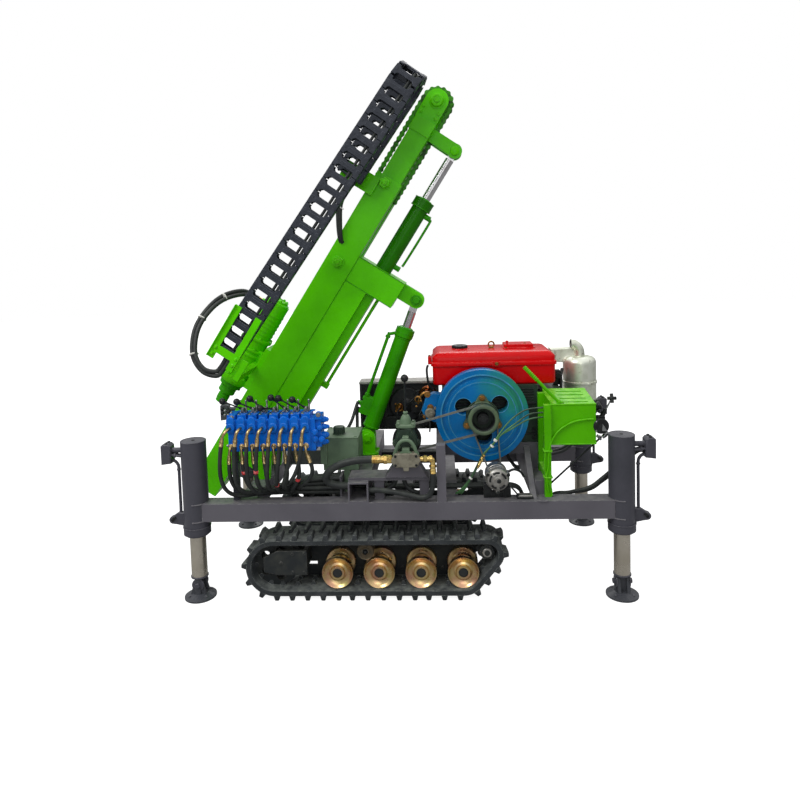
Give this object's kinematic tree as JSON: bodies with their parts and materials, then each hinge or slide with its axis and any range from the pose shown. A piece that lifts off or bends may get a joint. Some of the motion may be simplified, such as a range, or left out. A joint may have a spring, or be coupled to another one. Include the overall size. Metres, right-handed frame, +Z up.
{
  "type": "tracked pile driver and drill rig",
  "caption": "Small crawler rig: a leaning mast with drill head, drag chain and hydraulic cylinders on a deck with an engine, valve block and corner jacks.",
  "frame": {"origin": "on the ground under the middle of the machine, halfway between the jacks", "axes": "+X to the engine end, +Y to the side away from the controls, +Z up"},
  "size_m": [2.414, 1.0403, 2.6589],
  "materials": {
    "frame_paint": "satin grey",
    "jack_rod": "dull hard-chromed steel",
    "black_paint": "satin black",
    "track_rubber": "matt",
    "zinc_yellow": "yellow zinc passivated steel",
    "green_paint": "gloss green",
    "engine_paint": "dark green enamel",
    "red_paint": "gloss red",
    "aluminium_paint": "dull",
    "blue_paint": "gloss blue",
    "cast_aluminium": "cast",
    "belt_rubber": "matt",
    "lever_steel": "black knobs on plated stems",
    "brass": "satin",
    "hose_rubber": "satin",
    "chrome": "polished",
    "green_chain": "oiled",
    "black_nylon": "moulded"
  },
  "bodies": {
    "root": {"deck_frame": "frame_paint", "jack_tubes": "frame_paint", "lock_valves": "frame_paint", "track_frames": "black_paint", "cross_tubes": "black_paint", "track_near": "track_rubber", "track_far": "track_rubber", "track_rollers": "zinc_yellow", "track_idlers": "black_paint", "track_sprockets": "black_paint", "mast_brackets": "green_paint", "engine_bed": "frame_paint", "engine_block": "engine_paint", "fuel_tank": "red_paint", "air_cleaner": "aluminium_paint", "alternator": "cast_aluminium", "pump_drive": "engine_paint", "gear_pump": "cast_aluminium", "oil_cooler": "black_paint", "drive_belts": "belt_rubber", "oil_tank": "engine_paint", "valve_block": "blue_paint", "hand_levers": "lever_steel", "port_fittings": "brass", "valve_hoses": "hose_rubber", "deck_hoses": "hose_rubber", "control_box": "green_paint", "box_levers": "black_paint"},
    "jack_fn": {"jack_leg_fn": "jack_rod"},
    "jack_ff": {"jack_leg_ff": "jack_rod"},
    "jack_rn": {"jack_leg_rn": "jack_rod"},
    "jack_rf": {"jack_leg_rf": "jack_rod"},
    "flywheel": {"flywheel": "blue_paint", "drive_pulley": "engine_paint"},
    "pump_pulley": {"pump_pulley": "black_paint"},
    "alternator_pulley": {"alternator_pulley": "black_paint"},
    "tilt_barrel": {"tilt_barrel": "green_paint"},
    "tilt_rod": {"tilt_rod": "chrome"},
    "cradle": {"cradle": "green_paint", "slide_barrel": "green_paint"},
    "mast": {"mast": "green_paint", "slide_rod": "chrome", "feed_chain": "green_chain", "drag_chain": "black_nylon"},
    "carriage": {"carriage": "green_paint", "head_motor": "green_paint", "head_hoses": "hose_rubber"},
    "spindle": {"spindle": "green_paint"}
  },
  "joints": [
    {"name": "jack_front_near", "type": "slide", "parent": "root", "child": "jack_fn", "axis": [0, 0, -1], "range_m": [-0.2, 0.18]},
    {"name": "jack_front_far", "type": "slide", "parent": "root", "child": "jack_ff", "axis": [0, 0, -1], "range_m": [-0.2, 0.18]},
    {"name": "jack_rear_near", "type": "slide", "parent": "root", "child": "jack_rn", "axis": [0, 0, -1], "range_m": [-0.2, 0.18]},
    {"name": "jack_rear_far", "type": "slide", "parent": "root", "child": "jack_rf", "axis": [0, 0, -1], "range_m": [-0.2, 0.18]},
    {"name": "mast_tilt", "type": "hinge", "parent": "root", "child": "cradle", "pos_m": [-0.78759, 0, 0.70225], "axis": [0, -1, 0], "range_deg": [-6, 33]},
    {"name": "tilt_barrel_swing", "type": "hinge", "parent": "root", "child": "tilt_barrel", "pos_m": [-0.226, 0, 0.689], "axis": [0, -1, 0], "range_deg": [-8, 37]},
    {"name": "tilt_rod_slide", "type": "slide", "parent": "tilt_barrel", "child": "tilt_rod", "axis": [0.362, 0, 0.9322], "range_m": [-0.08, 0.36]},
    {"name": "mast_slide", "type": "slide", "parent": "cradle", "child": "mast", "axis": [0.5446, 0, 0.8387], "range_m": [-0.24, 0.14]},
    {"name": "head_feed", "type": "slide", "parent": "mast", "child": "carriage", "axis": [0.5446, 0, 0.8387], "range_m": [0, 1.1], "deforming": ["drag_chain"]},
    {"name": "spindle_turn", "type": "hinge", "parent": "carriage", "child": "spindle", "pos_m": [-1.01785, 0, 0.95909], "axis": [0.5446, 0, 0.8387], "continuous": true},
    {"name": "flywheel_turn", "type": "hinge", "parent": "root", "child": "flywheel", "pos_m": [0.395, -0.3, 0.865], "axis": [0, 1, 0], "continuous": true},
    {"name": "pump_pulley_turn", "type": "hinge", "parent": "root", "child": "pump_pulley", "pos_m": [0.012, -0.356, 0.765], "axis": [0, 1, 0], "continuous": true},
    {"name": "alternator_pulley_turn", "type": "hinge", "parent": "root", "child": "alternator_pulley", "pos_m": [0.452, -0.324, 0.592], "axis": [0, 1, 0], "continuous": true}
  ],
  "couplings": [
    {"joint": "tilt_barrel_swing", "follows": "mast_tilt", "ratio": 1.055},
    {"joint": "tilt_rod_slide", "follows": "mast_tilt", "m_per_rad": 0.54},
    {"joint": "pump_pulley_turn", "follows": "flywheel_turn", "ratio": 1.0833},
    {"joint": "alternator_pulley_turn", "follows": "flywheel_turn", "ratio": 2.5}
  ]
}
